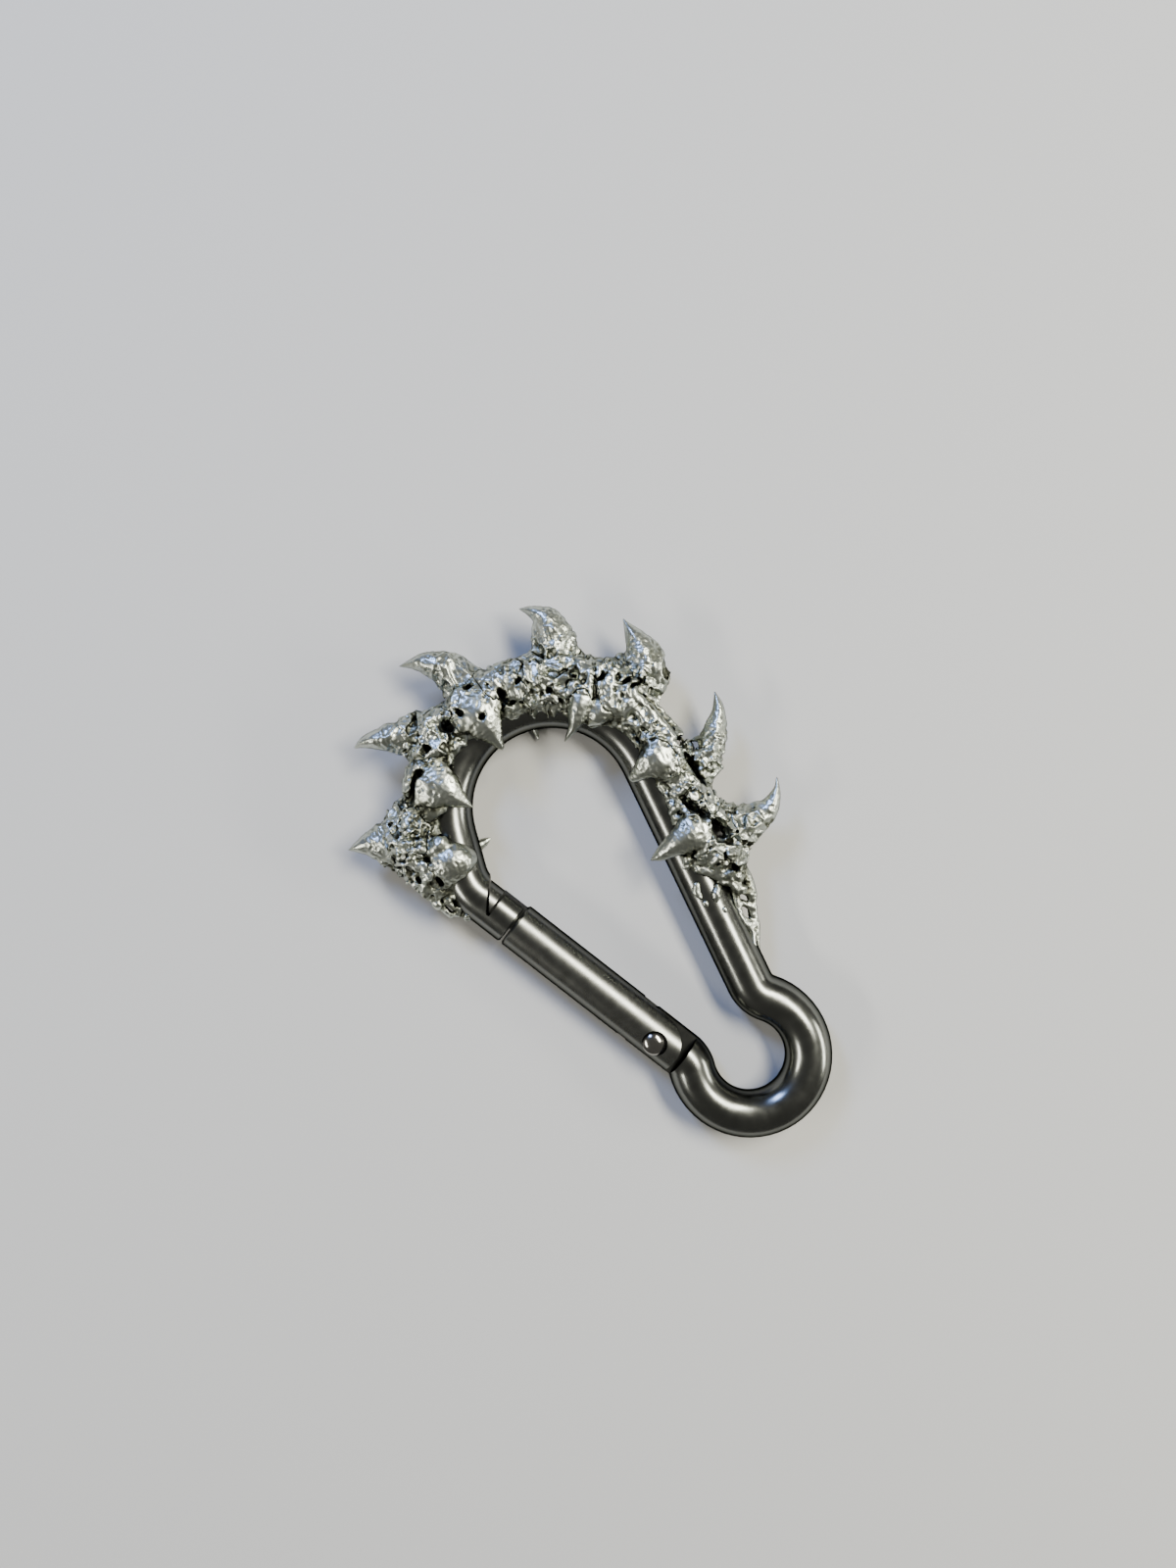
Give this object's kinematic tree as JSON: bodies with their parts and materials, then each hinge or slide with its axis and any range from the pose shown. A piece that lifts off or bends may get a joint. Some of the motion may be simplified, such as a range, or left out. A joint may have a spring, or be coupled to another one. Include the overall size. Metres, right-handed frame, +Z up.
{
  "type": "carabiner keyring",
  "caption": "Pear-shaped spring snap hook of round stainless rod with an inward-opening sprung gate, its bow and spine wrapped in a crust of cast silvery metal with curved thorns.",
  "frame": {"origin": "centre of the small eye, in the mid-plane of the rod", "axes": "+Y from the eye to the big bow, +X to the spine side with the gate on -X, +Z up from the table the hook lies flat on"},
  "size_m": [0.0507, 0.0802, 0.0089],
  "materials": {
    "polished_steel": "polished, with fine wear scratches",
    "white_metal": "bright as-cast, rough and beaded",
    "spring_steel": "bright drawn wire"
  },
  "bodies": {
    "frame": {"hook_frame": "polished_steel", "bow_crust_1": "white_metal", "bow_crust_2": "white_metal", "bow_crust_3": "white_metal", "bow_crust_4": "white_metal", "bow_crust_5": "white_metal", "crust_tail": "white_metal", "inner_spur_1": "white_metal", "inner_spur_2": "white_metal", "inner_thorn_1": "white_metal", "inner_thorn_2": "white_metal", "inner_thorn_3": "white_metal", "inner_thorn_4": "white_metal", "inner_thorn_5": "white_metal", "inner_thorn_6": "white_metal", "nose_crust": "white_metal", "outer_thorn_1": "white_metal", "outer_thorn_2": "white_metal", "outer_thorn_3": "white_metal", "outer_thorn_4": "white_metal", "outer_thorn_5": "white_metal", "outer_thorn_6": "white_metal", "outer_thorn_7": "white_metal", "solder_drops": "white_metal", "spine_crust_1": "white_metal", "spine_crust_2": "white_metal"},
    "gate": {"gate": "polished_steel", "pivot_rivet": "polished_steel", "gate_spring": "spring_steel"},
    "plunger": {"plunger": "polished_steel"}
  },
  "joints": [
    {"name": "gate_hinge", "type": "hinge", "parent": "frame", "child": "gate", "pos_m": [-0.00875, 0.00957, 0], "axis": [0, 0, -1], "range_deg": [0, 40], "stiffness_Nm_per_rad": 0.0065, "springref_deg": -76.78},
    {"name": "plunger_slide", "type": "slide", "parent": "gate", "child": "plunger", "axis": [-0.2334, 0.9724, 0], "range_m": [0, 0.0011], "deforming": ["gate_spring"]}
  ],
  "couplings": [
    {"joint": "plunger_slide", "follows": "gate_hinge", "m_per_rad": 0.0015}
  ]
}
